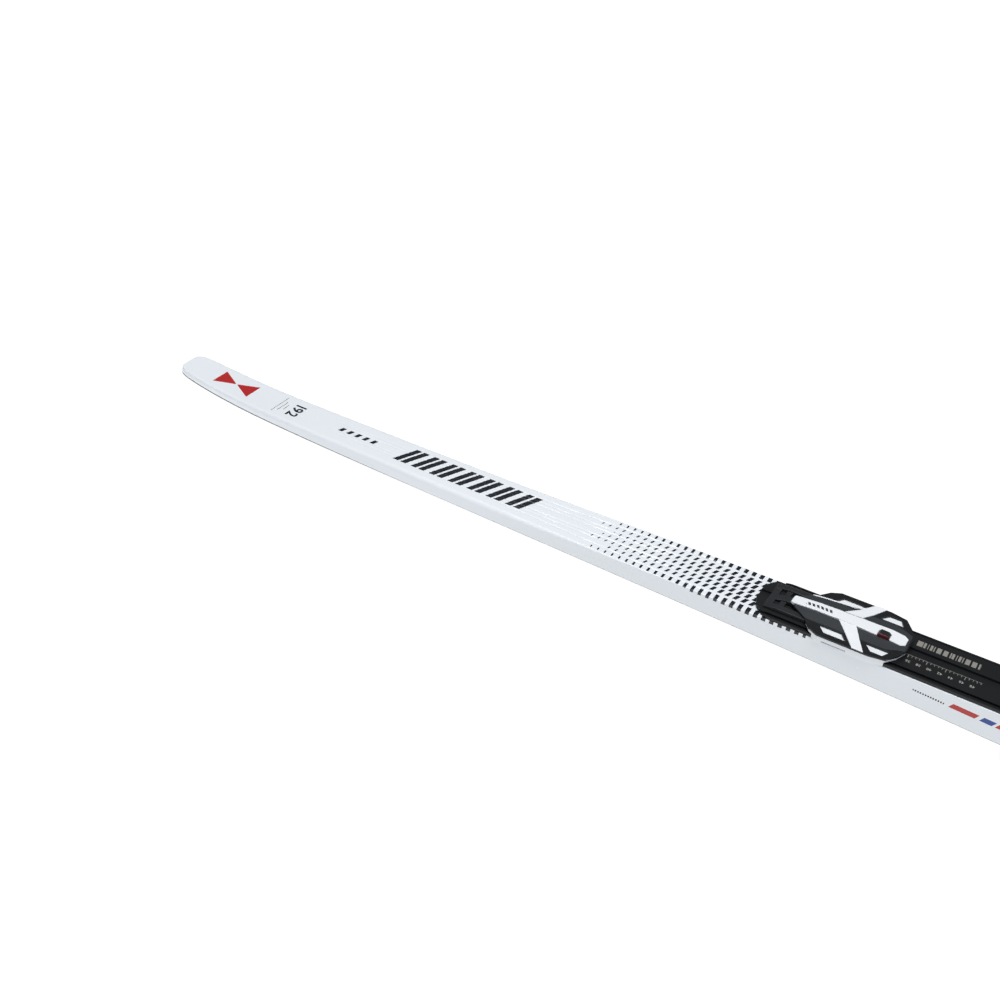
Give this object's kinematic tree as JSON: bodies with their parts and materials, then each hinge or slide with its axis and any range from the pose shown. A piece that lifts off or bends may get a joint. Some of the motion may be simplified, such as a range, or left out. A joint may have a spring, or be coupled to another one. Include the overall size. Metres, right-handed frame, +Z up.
{
  "type": "cross country ski",
  "caption": "Skating cross country ski with a white cap, black grooved base, binding plate, and a two-piece binding with toe lever, claw and adjustable heel.",
  "frame": {"origin": "on the ground plane, under the middle of the ski's bounding box", "axes": "+X from the tail to the tip, +Y to the ski's left, +Z up"},
  "size_m": [1.92, 0.0492, 0.0692],
  "materials": {
    "running_base": "satin",
    "laminate": "matte",
    "core_foam": "matte",
    "end_filler": "matte",
    "top_sheet": "gloss",
    "plate_black": "satin",
    "steel": "satin",
    "black_plastic": "satin",
    "white_plastic": "satin",
    "black_rubber": "matte"
  },
  "bodies": {
    "ski": {"base_sheet": "running_base", "lower_laminate": "laminate", "core": "core_foam", "tail_filler": "end_filler", "tip_filler": "end_filler", "upper_laminate": "laminate", "topsheet": "top_sheet", "binding_plate": "plate_black", "plate_screws": "steel"},
    "toe_unit": {"toe_base": "black_plastic", "toe_housing": "white_plastic", "boot_guide": "black_plastic", "flexor": "black_rubber", "lever_pin": "steel", "toe_lock_pin": "steel", "toe_lock_spring": "steel"},
    "lever": {"lever": "black_plastic"},
    "claw": {"claw": "steel"},
    "toe_lock": {"toe_lock": "white_plastic"},
    "heel_unit": {"heel_base": "white_plastic", "heel_cover": "black_plastic", "heel_spine": "white_plastic", "heel_tongue": "black_plastic", "heel_pawl_pin": "steel", "heel_spring": "steel"},
    "heel_button": {"heel_button": "black_plastic"},
    "heel_pawl": {"heel_pawl": "steel"}
  },
  "joints": [
    {"name": "toe_slide", "type": "slide", "parent": "ski", "child": "toe_unit", "axis": [1, 0, 0], "range_m": [-0.012, 0.012]},
    {"name": "lever_pivot", "type": "hinge", "parent": "toe_unit", "child": "lever", "pos_m": [-0.079, 0, 0.0614], "axis": [0, -1, 0], "range_deg": [0, 70]},
    {"name": "claw_slide", "type": "slide", "parent": "toe_unit", "child": "claw", "axis": [1, 0, 0], "range_m": [0, 0.0092]},
    {"name": "toe_lock_pivot", "type": "hinge", "parent": "toe_unit", "child": "toe_lock", "pos_m": [-0.013, 0, 0.0513], "axis": [0, -1, 0], "range_deg": [0, 5], "stiffness_Nm_per_rad": 0.1, "springref_deg": -11.46, "deforming": ["toe_lock_spring"]},
    {"name": "heel_slide", "type": "slide", "parent": "ski", "child": "heel_unit", "axis": [0.9983, 0, 0.0576], "range_m": [-0.01, 0.012]},
    {"name": "heel_button_travel", "type": "slide", "parent": "heel_unit", "child": "heel_button", "axis": [0.0576, 0, -0.9983], "range_m": [0, 0.0015], "stiffness_N_per_m": 300, "springref_m": -0.001},
    {"name": "heel_pawl_rock", "type": "hinge", "parent": "heel_unit", "child": "heel_pawl", "pos_m": [-0.30012, 0, 0.04284], "axis": [0, 1, 0], "range_deg": [0, 9.6], "deforming": ["heel_spring"]}
  ],
  "couplings": [
    {"joint": "claw_slide", "follows": "lever_pivot", "m_per_rad": 0.0075117},
    {"joint": "heel_pawl_rock", "follows": "heel_button_travel", "rad_per_m": 111.11}
  ]
}
